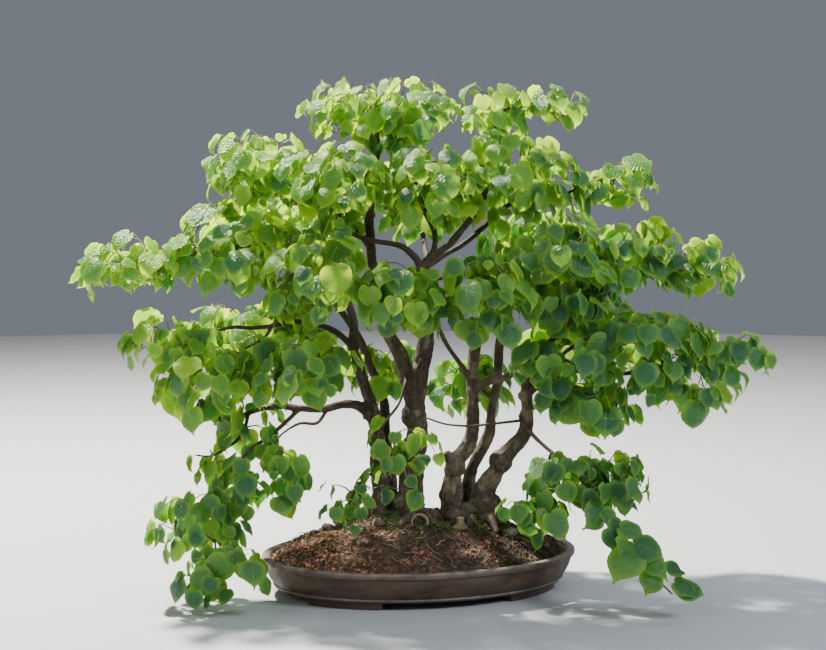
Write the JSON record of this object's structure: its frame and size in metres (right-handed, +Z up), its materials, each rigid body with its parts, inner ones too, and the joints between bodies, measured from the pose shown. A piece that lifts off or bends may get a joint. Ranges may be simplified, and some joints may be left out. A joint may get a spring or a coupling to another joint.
{
  "type": "bonsai tree in a pot",
  "caption": "Clump-style small-leaved lime bonsai: leaning stems with spreading and trailing leafy limbs, growing from mounded soil in a shallow oval stoneware pot on low feet.",
  "frame": {"origin": "middle of the footprint, on the plane that the pot's feet stand on", "axes": "+X along the pot's long axis, -Y towards the front, +Z up"},
  "size_m": [0.976, 0.62, 0.745],
  "materials": {
    "stoneware": "matte",
    "soil": "matte",
    "bark": "matte",
    "leaf": "matte",
    "stone": "matte",
    "screen": "matte"
  },
  "bodies": {
    "root": {"pot": "stoneware", "soil": "soil", "drain_screen_left": "screen", "drain_screen_right": "screen", "cut_root": "bark", "root_loop": "bark", "stem_main": "bark", "stem_left": "bark", "stem_left_rear": "bark", "stem_centre": "bark", "stem_rear": "bark", "stem_right": "bark", "leaves_top": "leaf", "leaves_top_middle": "leaf", "leaves_top_right": "leaf", "leaves_top_tip": "leaf", "leaves_upper_left": "leaf", "leaves_upper_middle": "leaf", "leaves_upper_front": "leaf", "leaves_upper_right": "leaf", "leaves_right_sprig": "leaf", "leaves_far_left": "leaf", "leaves_left_middle": "leaf", "leaves_middle_left": "leaf", "leaves_middle": "leaf", "leaves_middle_right": "leaf", "leaves_right_middle": "leaf", "leaves_right_upper": "leaf", "leaves_far_right_upper": "leaf", "leaves_left_low_tip": "leaf", "leaves_left_low": "leaf", "leaves_left_inner": "leaf", "leaves_right_inner": "leaf", "leaves_right_low": "leaf", "leaves_far_right": "leaf", "leaves_right_drop": "leaf", "leaves_right_under": "leaf", "leaves_bottom_right": "leaf", "leaves_right_trail": "leaf", "leaves_right_over_soil": "leaf", "leaves_bottom_left_upper": "leaf", "leaves_bottom_left": "leaf", "leaves_bottom_left_tip": "leaf", "leaves_front_left": "leaf", "leaves_front": "leaf", "leaves_rear_gap": "leaf", "leaves_rear_middle": "leaf", "leaves_rear_left": "leaf", "leaves_rear_top": "leaf", "leaves_rear_right": "leaf", "leaves_rear_left_low": "leaf", "leaves_rear_right_low": "leaf", "stone_left": "stone", "stone_left_small": "stone", "stone_dark": "stone", "stone_front": "stone", "stone_right": "stone"}
  },
  "joints": []
}
